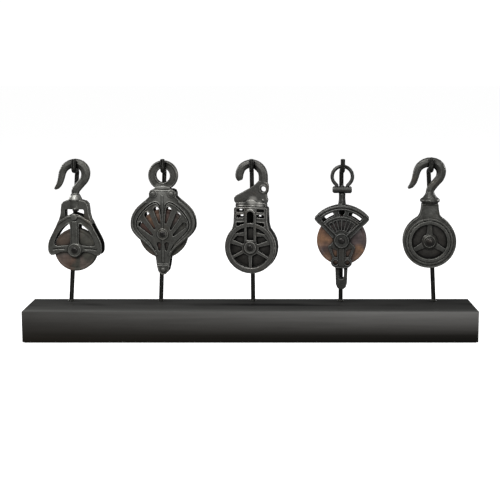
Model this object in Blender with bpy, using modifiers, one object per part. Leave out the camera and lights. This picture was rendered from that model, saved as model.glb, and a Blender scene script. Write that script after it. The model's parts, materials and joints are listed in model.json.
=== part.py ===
"""Five antique cast-iron pulleys hung on bent rods above a long display plinth."""

import math

import bmesh
import bpy
from mathutils import Matrix

MM = 0.001  # every dimension below is in millimetres

# Plinth, felt and posts
PLINTH_LENGTH, PLINTH_DEPTH, PLINTH_TOP = 1000.0, 125.0, 71.5
PLINTH_CHAMFER = 1.2
FELT_THICKNESS, FELT_MARGIN = 1.2, 4.0
FIT = 0.3  # clearance left between two pieces that meet
POST_RADIUS = 5.2
POST_Y = 42.5  # post axis, behind the plinth's centre line
ARM_HEIGHT = 301.05  # axis of the horizontal arm above the plinth's top
PIVOT_RISE = 0.45  # the pulleys' own origins lie this far above that axis
REAR_BEND, FRONT_BEND = 11.0, 7.0
ARM_REACH = 42.0  # post axis to the axis of the upturned tip
TIP_HEIGHT = 27.0
HOOK_OFFSET = 28.0  # post axis to the plane that the hooks hang in
COLLAR_RADIUS, COLLAR_HEIGHT = 7.6, 2.4
STUD_RADIUS, STUD_DEPTH = 4.0, 51.5
COUNTERBORE_RADIUS, COUNTERBORE_DEPTH = 12.5, 30.0
NUT_RADIUS, NUT_THICKNESS = 8.5, 6.5
# name: (foot x, arm x, how much higher than the others); the bent rods lean a little
POSTS = {
    "p1": (-411.0, -391.0, 0.0),
    "p2": (-206.0, -194.5, 0.0),
    "p3": (4.6, 2.0, 0.0),
    "p4": (204.5, 204.0, 0.0),
    "p5": (417.0, 400.0, 1.0),
}

# How far each pulley hangs turned about its vertical axis, in degrees
TURNS = {"p1": -5.5, "p2": -5.5, "p3": -12.0, "p4": -5.5, "p5": -5.5}

# Blocks: half thickness of the wheel, then the plate and its relief
WHEEL_HALF, PLATE_BACK, PLATE_FRONT = 9.5, 10.5, 14.5
RELIEF_FRONT, BOSS_FRONT, HEAD_FRONT = 15.9, 17.2, 19.6
AXLE_RADIUS, BUSH_RADIUS = 5.0, 9.5
HOOK_FLATNESS = 0.62  # depth of a forged hook's section over its height

IRON, DARK_IRON = (0.045, 0.043, 0.04), (0.03, 0.029, 0.027)
STEEL, BLACK = (0.06, 0.06, 0.058), (0.02, 0.019, 0.018)
WOODS = {"p1": (0.08, 0.062, 0.05), "p2": (0.11, 0.06, 0.045), "p4": (0.15, 0.08, 0.045)}


# ---------------------------------------------------------------- 2-D outlines
def smooth(points, steps=3, closed=True):
    """The points joined by a Catmull-Rom curve, with as many steps from one to the next."""
    count = len(points)
    found = []
    for i in range(count if closed else count - 1):
        near = [points[j % count] if closed else points[min(max(j, 0), count - 1)] for j in range(i - 1, i + 3)]
        for step in range(steps):
            t = step / steps
            found.append(tuple(
                0.5 * (2 * b + (c - a) * t + (2 * a - 5 * b + 4 * c - d) * t**2 + (3 * b - a - 3 * c + d) * t**3)
                for a, b, c, d in zip(*near)
            ))
    return found if closed else found + [points[-1]]


def arc(centre, radius, start, end, steps):
    """Points on a circle from one angle to another, in degrees from +X towards +Z."""
    angles = [math.radians(start + (end - start) * i / steps) for i in range(steps + 1)]
    return [(centre[0] + radius * math.cos(a), centre[1] + radius * math.sin(a)) for a in angles]


def circle(centre, radius, sides=24):
    return arc(centre, radius, 0, 360, sides)[:-1]


def both_sides(right):
    """A closed outline from its right half, which runs from the top of the centre line to the bottom."""
    left = [(-x, z) for x, z in reversed(right) if x > 0.01]
    return list(right) + left


def mirror(points):
    return [(-x, z) for x, z in points]


def teardrop(wide, narrow, wide_radius, narrow_radius, steps=5):
    """A slot with round ends of two sizes."""
    angle = math.degrees(math.atan2(wide[1] - narrow[1], wide[0] - narrow[0]))
    return arc(wide, wide_radius, angle - 90, angle + 90, steps) + arc(
        narrow, narrow_radius, angle + 90, angle + 270, max(2, steps - 2)
    )


def ribbon(points, width):
    """The outline of a rib of even width along a line."""
    left, right = [], []
    for i, (x, z) in enumerate(points):
        (x0, z0), (x1, z1) = points[max(i - 1, 0)], points[min(i + 1, len(points) - 1)]
        length = math.hypot(x1 - x0, z1 - z0)
        nx, nz = -(z1 - z0) / length * width / 2, (x1 - x0) / length * width / 2
        left.append((x + nx, z + nz))
        right.append((x - nx, z - nz))
    return left + right[::-1]


def inset(points, distance):
    """A closed outline moved inwards."""
    area = sum(a[0] * b[1] - b[0] * a[1] for a, b in zip(points, points[1:] + points[:1]))
    side = 1 if area > 0 else -1
    found = []
    for i, (x, z) in enumerate(points):
        (x0, z0), (x1, z1) = points[i - 1], points[(i + 1) % len(points)]
        length = math.hypot(x1 - x0, z1 - z0)
        found.append((x - side * (z1 - z0) / length * distance, z + side * (x1 - x0) / length * distance))
    return found


# ---------------------------------------------------------------- solids
def baked(obj, matrix=None):
    """The object's shape with its modifiers, as a plain mesh object; the first object is removed."""
    mesh = bpy.data.meshes.new_from_object(obj.evaluated_get(bpy.context.evaluated_depsgraph_get()))
    shape = bmesh.new()
    shape.from_mesh(mesh)
    bmesh.ops.remove_doubles(shape, verts=shape.verts, dist=0.000002)
    bmesh.ops.dissolve_limit(shape, angle_limit=math.radians(0.02), verts=shape.verts, edges=shape.edges)
    bmesh.ops.transform(shape, matrix=(matrix or Matrix()) @ obj.matrix_world, verts=shape.verts)
    bmesh.ops.recalc_face_normals(shape, faces=shape.faces)
    shape.to_mesh(mesh)
    shape.free()
    bpy.data.objects.remove(obj)
    return linked(bpy.data.objects.new("piece", mesh))


def linked(obj):
    bpy.context.scene.collection.objects.link(obj)
    return obj


def from_curve(curve, matrix):
    obj = linked(bpy.data.objects.new("curve", curve))
    bpy.context.view_layer.update()
    return baked(obj, matrix)


def plate(outline, front, back, windows=(), chamfer=0.0):
    """A flat plate facing -Y, between two distances in front of the hooks' plane, with open windows."""
    curve = bpy.data.curves.new("plate", "CURVE")
    curve.dimensions, curve.fill_mode = "2D", "BOTH"
    curve.extrude = ((front - back) / 2 - chamfer) * MM
    curve.bevel_depth, curve.offset, curve.bevel_resolution = chamfer * MM, -chamfer * MM, 0
    for loop in (outline, *windows):
        spline = curve.splines.new("POLY")
        spline.points.add(len(loop) - 1)
        spline.points.foreach_set("co", [value for x, z in loop for value in (x * MM, z * MM, 0, 1)])
        spline.use_cyclic_u = True
    turn = Matrix.Translation((0, -(front + back) / 2 * MM, 0)) @ Matrix.Rotation(math.pi / 2, 4, "X")
    return from_curve(curve, turn)


def rod(points, sides_step=2, flatness=1.0):
    """A round bar along (x, y, z, radius) points, with capped ends."""
    curve = bpy.data.curves.new("rod", "CURVE")
    curve.dimensions, curve.fill_mode, curve.use_fill_caps = "3D", "FULL", True
    curve.bevel_depth, curve.bevel_resolution = MM, sides_step
    spline = curve.splines.new("POLY")
    spline.points.add(len(points) - 1)
    for point, (x, y, z, radius) in zip(spline.points, points):
        point.co, point.radius = (x * MM, y * MM, z * MM, 1), radius
    return from_curve(curve, Matrix.Diagonal((1, flatness, 1, 1)))


def turned(profile, centre=(0, 0, 0), axis="Y", sides=32):
    """A turned solid: (radius, height) points from the top down, closed on the axis or round a bore.
    Height is towards the front on the Y axis, to the right on X and up on Z."""
    shape = bmesh.new()
    verts = [shape.verts.new((radius * MM, 0, height * MM)) for radius, height in profile]
    for a, b in zip(verts, verts[1:]):
        shape.edges.new((a, b))
    if profile[0][0] > 0:
        shape.edges.new((verts[-1], verts[0]))
    mesh = bpy.data.meshes.new("turned")
    shape.to_mesh(mesh)
    shape.free()
    obj = linked(bpy.data.objects.new("turned", mesh))
    screw = obj.modifiers.new("turn", "SCREW")
    screw.steps = screw.render_steps = sides
    screw.use_merge_vertices, screw.merge_threshold = True, 0.00002
    bpy.context.view_layer.update()
    turn = {"Y": Matrix.Rotation(math.pi / 2, 4, "X"), "X": Matrix.Rotation(math.pi / 2, 4, "Y"), "Z": Matrix()}
    return baked(obj, Matrix.Translation([value * MM for value in centre]) @ turn[axis])


def box(low, high, chamfer=0.0):
    shape = bmesh.new()
    size = [(b - a) * MM for a, b in zip(low, high)]
    middle = [(a + b) / 2 * MM for a, b in zip(low, high)]
    bmesh.ops.create_cube(shape, size=1, matrix=Matrix.Translation(middle) @ Matrix.Diagonal((*size, 1)))
    if chamfer:
        bmesh.ops.bevel(shape, geom=shape.edges, offset=chamfer * MM, segments=1, affect="EDGES")
    mesh = bpy.data.meshes.new("box")
    shape.to_mesh(mesh)
    shape.free()
    return linked(bpy.data.objects.new("box", mesh))


def combine(first, others, operation="UNION"):
    """One solid from several: the others are joined to the first, or cut out of it."""
    for other in others:
        step = first.modifiers.new("step", "BOOLEAN")
        step.operation, step.solver, step.object = operation, "EXACT", other
    bpy.context.view_layer.update()
    result = baked(first)
    for other in others:
        bpy.data.objects.remove(other)
    return result


def joined(*pieces):
    return combine(pieces[0], pieces[1:])


def cut(piece, *cutters):
    return combine(piece, cutters, "DIFFERENCE")


def moved(piece, x=0.0, y=0.0, z=0.0):
    piece.data.transform(Matrix.Translation((x * MM, y * MM, z * MM)))
    return piece


def drill(radius, x, z, front=40.0, back=-40.0, sides=12):
    """A cutter for a round hole through the plates."""
    return turned([(0, front), (radius, front), (radius, back), (0, back)], (x, 0, z), sides=sides)


def relief(outline, front=None, windows=()):
    """A raised feature, rooted inside the plate that carries it."""
    return plate(outline, front or RELIEF_FRONT, PLATE_BACK + 1, windows)


def hub_boss(z, radius, front=None, sides=20):
    front = front or BOSS_FRONT
    return turned([(0, front), (radius - 1.8, front), (radius, front - 1.6), (radius, PLATE_BACK + 1),
                   (0, PLATE_BACK + 1)], (0, 0, z), sides=sides)


def hex_nut(radius, bore, top, thickness, centre=(0, 0, 0)):
    """A hexagonal nut on the Z axis through the centre, from its top down."""
    solid = turned([(0, top), (radius, top), (radius, top - thickness), (0, top - thickness)], centre, "Z", 6)
    return cut(solid, turned([(0, top + 5), (bore, top + 5), (bore, top - 20), (0, top - 20)], centre, "Z", 12))


def turned_back(piece):
    """The piece mirrored to the other side of the hooks' plane."""
    shape = bmesh.new()
    shape.from_mesh(piece.data)
    bmesh.ops.transform(shape, matrix=Matrix.Diagonal((1, -1, 1, 1)), verts=shape.verts)
    bmesh.ops.reverse_faces(shape, faces=shape.faces)
    mesh = bpy.data.meshes.new("mirrored")
    shape.to_mesh(mesh)
    shape.free()
    return linked(bpy.data.objects.new("mirrored", mesh))


def finish(piece, name, colour, origin=(0, 0, 0), metallic=0.9, roughness=0.55, wood=False):
    """Names the piece, gives it its material and sets it, turned as its pulley hangs, at its origin."""
    piece.name = piece.data.name = name
    material = bpy.data.materials.new(name)
    material.use_nodes = True
    shader = material.node_tree.nodes["Principled BSDF"]
    shader.inputs["Base Color"].default_value = (*colour, 1)
    shader.inputs["Metallic"].default_value = 0.0 if wood else metallic
    shader.inputs["Roughness"].default_value = 0.7 if wood else roughness
    piece.data.materials.clear()
    piece.data.materials.append(material)
    piece.location = [value * MM for value in origin]
    piece.rotation_euler.z = math.radians(TURNS.get(name[:2], 0.0))
    piece.data.shade_smooth()
    piece.data.set_sharp_from_angle(angle=math.radians(32))
    return piece


# ---------------------------------------------------------------- shared pulley pieces
def headed_pin(head_radius, shank_radius, head_front, under_head, sides=20):
    """A rivet through both plates with a domed head on each side."""
    rise = head_front - under_head
    half = [(0, head_front), (head_radius * 0.7, head_front - rise * 0.3), (head_radius, under_head),
            (shank_radius, under_head)]
    return half + [(radius, -height) for radius, height in reversed(half)]


def wheel(radius, groove, bore):
    """A sheave with a rope groove."""
    half = [(bore, WHEEL_HALF), (radius, WHEEL_HALF - 0.4), (radius - groove, 2.2)]
    return half + [(r, -h) for r, h in reversed(half)]


def forged_hook(spine, shank):
    """A hook swept along its spine, flattened in depth, on a turned shank."""
    bow = rod(smooth([(x, 0, z, r) for x, z, r in spine], 2, closed=False), 2, HOOK_FLATNESS)
    return joined(bow, turned(shank, axis="Z", sides=16))


def hub_and_axle(name, origin, z, pin_radius, wheel_profile, wood_colour=None, bush=True):
    """The wheel, its bush and its axle pin, with the wheel's origin on its own axis."""
    centre = (origin[0], origin[1], origin[2] + z)
    colour = wood_colour or DARK_IRON
    finish(turned(wheel_profile, sides=32), f"{name}_wheel", colour, centre, wood=wood_colour is not None)
    if bush:
        ring = [(AXLE_RADIUS + FIT, WHEEL_HALF + 0.3), (BUSH_RADIUS - FIT, WHEEL_HALF + 0.3),
                (BUSH_RADIUS - FIT, -WHEEL_HALF - 0.3), (AXLE_RADIUS + FIT, -WHEEL_HALF - 0.3)]
        finish(turned(ring, sides=16), f"{name}_wheel_bush", STEEL, centre)
    pin = headed_pin(pin_radius, AXLE_RADIUS, HEAD_FRONT, BOSS_FRONT + FIT)
    finish(turned(pin, sides=14), f"{name}_axle_pin", STEEL, centre)


# ---------------------------------------------------------------- plinth and posts
def plinth():
    half = PLINTH_LENGTH / 2
    low = FELT_THICKNESS + FIT
    body = box((-half, -PLINTH_DEPTH / 2, low), (half, PLINTH_DEPTH / 2, PLINTH_TOP), PLINTH_CHAMFER)
    holes = []
    for foot, _, _ in POSTS.values():
        holes.append(turned([(0, 80), (STUD_RADIUS + FIT, 80), (STUD_RADIUS + FIT, low + COUNTERBORE_DEPTH),
                             (COUNTERBORE_RADIUS, low + COUNTERBORE_DEPTH), (COUNTERBORE_RADIUS, -5), (0, -5)],
                            (foot, POST_Y, 0), "Z", 10))
    finish(cut(body, *holes), "base_plinth", BLACK, metallic=0.0, roughness=0.45)
    felt = box((-half + FELT_MARGIN, -PLINTH_DEPTH / 2 + FELT_MARGIN, 0),
               (half - FELT_MARGIN, PLINTH_DEPTH / 2 - FELT_MARGIN, FELT_THICKNESS))
    finish(felt, "base_felt", (0.012, 0.012, 0.012), metallic=0.0, roughness=0.95)


def posts():
    seat = FELT_THICKNESS + FIT + COUNTERBORE_DEPTH
    for name, (foot, top, extra) in POSTS.items():
        arm = PLINTH_TOP + ARM_HEIGHT + extra
        base = PLINTH_TOP + COLLAR_HEIGHT
        lean = (top - foot) / (arm - base)
        path = [(foot, POST_Y, base - 1), (top - lean * REAR_BEND, POST_Y, arm - REAR_BEND)]
        path += [(top, POST_Y - REAR_BEND + y, arm - REAR_BEND + z)
                 for y, z in arc((0, 0), REAR_BEND, 0, 90, 4)[1:]]
        tip = POST_Y - ARM_REACH
        path += [(top, tip + FRONT_BEND + y, arm + FRONT_BEND + z)
                 for y, z in arc((0, 0), FRONT_BEND, -90, -180, 4)]
        path += [(top, tip, arm + TIP_HEIGHT - 0.8)]
        bar = rod([(*p, POST_RADIUS) for p in path] + [(top, tip, arm + TIP_HEIGHT, POST_RADIUS - 0.8)], 3)
        foot_profile = [(0, base), (COLLAR_RADIUS - 1.4, base), (COLLAR_RADIUS, base - 1.2),
                        (COLLAR_RADIUS, PLINTH_TOP + FIT), (STUD_RADIUS, PLINTH_TOP + FIT),
                        (STUD_RADIUS, PLINTH_TOP - STUD_DEPTH), (0, PLINTH_TOP - STUD_DEPTH)]
        stand = joined(bar, turned(foot_profile, (foot, POST_Y, 0), "Z", 16))
        moved(stand, -foot, -POST_Y, -PLINTH_TOP)
        finish(stand, f"post_{name}", BLACK, (foot, POST_Y, PLINTH_TOP), roughness=0.4)
        bore, under = STUD_RADIUS + FIT, seat - FIT
        nut = hex_nut(NUT_RADIUS, bore, under, NUT_THICKNESS, (foot, POST_Y, 0))
        finish(moved(nut, -foot, -POST_Y, -PLINTH_TOP), f"post_nut_{name}", STEEL, (foot, POST_Y, PLINTH_TOP))


# ---------------------------------------------------------------- pulley 1: arch frame on a swivel hook
P1_HUB = -177.0
P1_BARREL_RADIUS, P1_BORE = 14.2, 4.4
P1_SOCKET_TOP, P1_BARREL_BOTTOM = -53.0, -86.0
P1_RIVET = -102.5


def pulley_1(origin):
    spine = [(0, -51, 9.2), (0.4, -47.5, 9.6), (2.5, -41.5, 9.9), (13.3, -29.3, 9.7), (21, -20.3, 10.1),
             (24.7, -9.5, 10.8), (23.6, 2, 11.2), (15.5, 11.6, 11.3), (2.0, 16.0, 10.8), (-11.5, 13.4, 9.8),
             (-22.3, 5.8, 9.3), (-27.8, -4, 8.7), (-30.8, -16, 8.1), (-34.6, -27.5, 7.3), (-40.6, -37, 5.8),
             (-47.2, -41.4, 2.7)]
    shank = [(0, -50), (8.6, -50), (9.2, P1_SOCKET_TOP + FIT), (P1_BORE, P1_SOCKET_TOP + FIT), (P1_BORE, -93),
             (P1_BORE - 1.5, -94.5), (0, -94.5)]
    finish(forged_hook(spine, shank), "p1_hook", IRON, origin)
    finish(hex_nut(7.4, P1_BORE + FIT, P1_BARREL_BOTTOM - FIT, 4.4), "p1_swivel_nut", IRON, origin)

    yoke = both_sides([(0, -66), (15, -65.5), (24, -68), (29.5, -74), (31, -84), (32, -96), (35.5, -108),
                       (40, -118), (34, -121), (27, -113), (21.5, -104), (21.5, -88.5), (19.5, -86), (0, -86)])
    frame = both_sides([(0, -95.5), (9, -96.5), (18, -101), (27, -107), (36.8, -112)] + smooth(
        [(41, -121.5), (48, -135.5), (55, -148.5), (60, -161), (61.2, -172), (60.6, -180.5), (57.2, -187),
         (51.5, -189.6), (45.5, -187.6), (38, -184), (28, -181), (19, -180.6)], 2, closed=False)
        + arc((0, P1_HUB), 16.9, -20, -90, 4))
    window = smooth([(11, -118), (22, -123.8), (34, -135), (43, -151), (46.6, -164), (40, -168), (22, -167),
                     (10.2, -163), (9.8, -140)], 2)
    groove = [(22, -172.4), (36, -172.6), (50, -174.6), (51, -177.8), (36, -176), (22, -175.8)]
    arch = ribbon([(-38, -118.5), (-27, -110.5), (-15, -103.2), (0, -100), (15, -103.2), (27, -110.5), (38, -118.5)],
                  3.6)
    barrel = [(0, P1_SOCKET_TOP), (10.2, P1_SOCKET_TOP), (15.6, -64.5), (P1_BARREL_RADIUS, -67.5),
              (P1_BARREL_RADIUS, P1_BARREL_BOTTOM), (0, P1_BARREL_BOTTOM)]
    blank = joined(
        plate(frame, PLATE_FRONT, PLATE_BACK, (window, mirror(window))),
        plate(yoke, PLATE_FRONT - 3.2, -2),
        turned(barrel, axis="Z", sides=20),
        hub_boss(P1_HUB, 16.4),
    )
    blank = cut(
        blank,
        box((-80, -FIT / 2, -300), (80, 60, 0)),
        turned([(0, 10), (P1_BORE + FIT, 10), (P1_BORE + FIT, -120), (0, -120)], axis="Z", sides=16),
        drill(AXLE_RADIUS + FIT, 0, P1_HUB),
        drill(3.3, 0, P1_RIVET),
    )
    rear = turned_back(blank)
    front = joined(blank, relief(ribbon([(0, -112), (0, -166)], 11.2)), relief(arch))
    front = cut(front, *[plate(line, PLATE_FRONT + 3, PLATE_FRONT - 1.3) for line in (groove, mirror(groove))])
    front = cut(front, drill(3.3, 0, P1_RIVET))
    finish(rear, "p1_rear_frame", IRON, origin)
    finish(front, "p1_front_frame", IRON, origin)
    rivet = turned(headed_pin(7.5, 3.0, PLATE_FRONT + 4.2, RELIEF_FRONT + FIT), (0, 0, P1_RIVET), sides=14)
    finish(rivet, "p1_top_rivet", STEEL, origin)
    hub_and_axle("p1", origin, P1_HUB, 6.8, wheel(48.0, 6.0, BUSH_RADIUS), WOODS["p1"])


# ---------------------------------------------------------------- pulley 2: palmette plates under an eye ring
P2_HUB = -141.0
P2_RING = -10.7


def pulley_2(origin):
    eye = plate(circle((0, P2_RING), 33.4, 28), 6.6, -6.6, (circle((0, P2_RING), 15.8, 20),), 2.2)
    neck = plate(both_sides([(0, -34), (17, -36), (16.4, -39), (18.5, -42.5), (18.5, -46.5), (29, -47.5), (29, -57),
                             (22, -60.5), (0, -62)]), PLATE_BACK - FIT, -PLATE_BACK + FIT)
    eye = cut(joined(eye, neck), *[drill(3.3, x, -50.5) for x in (-20.3, 20.3)])
    finish(eye, "p2_eye_ring", IRON, origin)

    body = smooth([(38.3, -65), (51, -75.5), (62.5, -87.5), (69.7, -101), (72.4, -114.5), (72, -127), (67.8, -136.5),
                   (60.5, -146), (50, -155.5), (35, -168), (23, -180), (17.6, -190)], 2, closed=False)
    outline = both_sides([(0, -43), (13, -42), (20, -40.4), (27.5, -43.4), (30.3, -50), (30, -57.5)] + body
                         + [(15.6, -201), (14, -214), (11.3, -225), (6, -231.4), (0, -233)])
    slots = []
    for wide, narrow, size in (((14.2, -86), (6.8, -116), 6.3), ((35, -98), (18, -129.5), 6.2),
                               ((48.5, -120), (24, -143.5), 6.2), ((8.9, -163.5), (7.6, -177), 4.9)):
        slots.append(teardrop(wide, narrow, size, 2.4, 4))
    slots += [mirror(slot) for slot in slots]
    edge = inset(outline, 3.8)[6:29]
    leaf = ribbon(smooth([(3.6, -96), (6.8, -77), (16, -70.4), (30.5, -77), (46, -91.5), (57, -108), (59.2, -122),
                          (54.8, -133), (44, -145.5), (32, -157), (22.5, -168.5), (17.8, -178)], 2, closed=False), 2.0)
    blank = joined(
        plate(outline, PLATE_FRONT, PLATE_BACK, slots),
        hub_boss(P2_HUB, 13.6, BOSS_FRONT - 1),
        hub_boss(P2_HUB, 9.9, sides=16),
        *[turned([(0, RELIEF_FRONT), (8.6, RELIEF_FRONT), (9.6, PLATE_FRONT - 1), (9.6, PLATE_BACK + 1),
                  (0, PLATE_BACK + 1)], (x, 0, -50.5), sides=16) for x in (-20.3, 20.3)],
    )
    holes = [(0, P2_HUB, AXLE_RADIUS + FIT), (-20.3, -50.5, 3.3), (20.3, -50.5, 3.3), (0, -222, 3.3)]
    rear = cut(turned_back(blank), *[drill(radius, x, z) for x, z, radius in holes])
    front = joined(
        blank,
        relief(ribbon(edge, 4.2), RELIEF_FRONT + 0.4),
        relief(mirror(ribbon(edge, 4.2)), RELIEF_FRONT + 0.4),
        relief(ribbon([(0, -54), (0, -135)], 3.2), RELIEF_FRONT + 0.12),
        relief(ribbon([(0, -150), (0, -205)], 4.0), RELIEF_FRONT + 0.12),
    )
    front = cut(
        front,
        plate(ribbon([(-20, -211), (20, -211)], 2.0), PLATE_FRONT + 3, PLATE_FRONT - 1.0),
        *[plate(line, PLATE_FRONT + 3, PLATE_FRONT - 1.3) for line in (leaf, mirror(leaf))],
        *[drill(radius, x, z) for x, z, radius in holes],
    )
    finish(rear, "p2_rear_plate", IRON, origin)
    finish(front, "p2_front_plate", IRON, origin)
    tail = plate(both_sides([(0, -203), (12, -203), (11.5, -214), (9, -224), (4, -229.4), (0, -230)]),
                 PLATE_BACK - FIT, -PLATE_BACK + FIT)
    finish(cut(tail, drill(3.3, 0, -222)), "p2_tail_spacer", IRON, origin)
    for place, x, z, seat in (("left", -20.3, -50.5, RELIEF_FRONT), ("right", 20.3, -50.5, RELIEF_FRONT),
                              ("tail", 0, -222, PLATE_FRONT)):
        rivet = turned(headed_pin(5.2, 3.0, seat + 2.7, seat + FIT), (x, 0, z), sides=12)
        finish(rivet, f"p2_{place}_rivet", STEEL, origin)
    hub_and_axle("p2", origin, P2_HUB, 6.3, wheel(54.6, 6.5, BUSH_RADIUS), WOODS["p2"])


# ---------------------------------------------------------------- pulley 3: skeleton shell under a flat hook head
P3_HUB = -171.5
P3_RADIUS = 58.7
P3_SIDE = 37.5


def pulley_3(origin):
    spine = [(27.5, -34, 9.5), (26.8, -22, 11.0), (26.4, -8, 10.9), (22.6, 2, 11.0), (14.5, 10.2, 11.0),
             (4, 15.1, 10.0), (-7, 14.4, 9.6), (-18, 9.2, 9.6), (-24.6, 1, 9.9), (-27.8, -9.5, 9.6),
             (-27.4, -17, 8.8), (-25.4, -22.8, 5.6)]
    bow = rod(smooth([(x, 0, z, r) for x, z, r in spine], 2, closed=False), 2, HOOK_FLATNESS)
    head = plate([(16.5, -22), (27, -22), (36.5, -26), (39, -33), (39, -40), (38, -46.5), (34.8, -52), (35.8, -58.5),
                  (37.8, -64.5), (36.6, -70), (33.6, -75), (33.6, -79), (-34, -79), (-34, -75), (-39, -69.5),
                  (-39.8, -62), (-36, -56.5), (-27, -51.8), (-13.4, -44), (0, -36.8), (10, -29.2)], 6.2, -6.2,
                 (circle((27.6, -40.6), 5.9, 14),), 1.4)
    boss = plate(circle((27.6, -40.6), 10.0, 18), 7.4, -7.4, (circle((27.6, -40.6), 6.6, 14),))
    pip = turned([(0, 7.6), (4.2, 6.0), (4.2, -6.0), (0, -7.6)], (27, 0, -65.5), sides=12)
    band = plate([(-33, -71.8), (-13, -70.4), (-8, -66), (0, -63.8), (8, -66), (13, -70.4), (32.5, -71.8), (34.6, -75),
                  (34.6, -80.6), (-35, -80.6), (-35, -75)], 9.6, -9.6)
    tongue = plate([(-30, -78), (30, -78), (30, -84), (-30, -84)], PLATE_BACK - FIT, -PLATE_BACK + FIT)
    finish(joined(head, bow, boss, pip, band, tongue), "p3_hook_head", IRON, origin)

    side = P3_SIDE
    outline = both_sides([(0, -81), (side - 3, -81), (side, -84), (side + 0.3, -100), (side + 1.2, -118),
                          (side + 4.4, -130)] + arc((0, P3_HUB), P3_RADIUS, 40, -90, 13))
    pocket = both_sides([(0, -70), (30.6, -70), (30.6, -84.8), (side - 3.6, -84.8), (side - 3.3, -100),
                         (side - 2.4, -118), (side + 1.6, -131)] + arc((0, P3_HUB), P3_RADIUS - 3.6, 38.5, -90, 12))
    windows = []
    for top, bottom, reach, slope in ((-84.6, -91.6, 32, 0.8), (-97, -104.4, 32, 1.0), (-114.2, -122.2, 32, 1.5),
                                      (-128.6, -136.6, 35, 4.5)):
        windows.append([(14, top), (reach, top - slope), (reach, bottom - slope), (14, bottom)])
    hub, inside, rim = 15.1, 19.5, 45.6
    for start, end in ((-86, -33), (-26, 10)):
        taper = (end - start) * 0.16
        windows.append(arc((0, P3_HUB), rim, start, end, 4)
                       + arc((0, P3_HUB), inside, end - taper, start + taper, 1))
    windows.append([(14.2, -146.2), (30, -145.5), (39.4, -155.2), (17.5, -163.5), (14.2, -163)])
    slot = both_sides(arc((0, -97.5), 7.4, 90, 0, 3) + [(7.4, -154), (0, -154)])
    spots = [[(left, top), (left + 6.4, top), (left + 6.4, bottom), (left, bottom)]
             for left, top, bottom in ((-30.8, -85.4, -91.2), (-28.2, -98.6, -104.4), (13, -99.4, -104.8))]

    def shell(right, middle=()):
        solid = cut(
            plate(outline, PLATE_FRONT, 3.2, (*middle, *right, *[mirror(w) for w in right])),
            plate(pocket, PLATE_BACK, 0),
        )
        return joined(solid, hub_boss(P3_HUB, hub))

    back = shell(windows[-3:], spots)
    rear = cut(turned_back(back), drill(AXLE_RADIUS + FIT, 0, P3_HUB))
    bpy.data.objects.remove(back)
    guard = both_sides(arc((0, -97.5), 8.2, 90, 0, 3) + [(8.2, -154.8), (0, -154.8)])
    front = joined(
        shell(windows, (slot,)),
        relief(circle((0, P3_HUB), 55.4, 32), windows=(circle((0, P3_HUB), 47, 28),)),
        relief(arc((0, -97.5), 12.8, 180, 0, 6) + [(12.8, -158), (-12.8, -158)], RELIEF_FRONT + 0.4, (guard,)),
    )
    front = cut(front, drill(AXLE_RADIUS + FIT, 0, P3_HUB))
    finish(rear, "p3_rear_shell", IRON, origin)
    finish(front, "p3_front_shell", IRON, origin)
    hub_and_axle("p3", origin, P3_HUB, 6.8, wheel(49.7, 6.0, AXLE_RADIUS + FIT), bush=False)


# ---------------------------------------------------------------- pulley 4: fan plates under a swivel ring
P4_HUB = -156.0
P4_CROSSHEAD = -43.0


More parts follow.
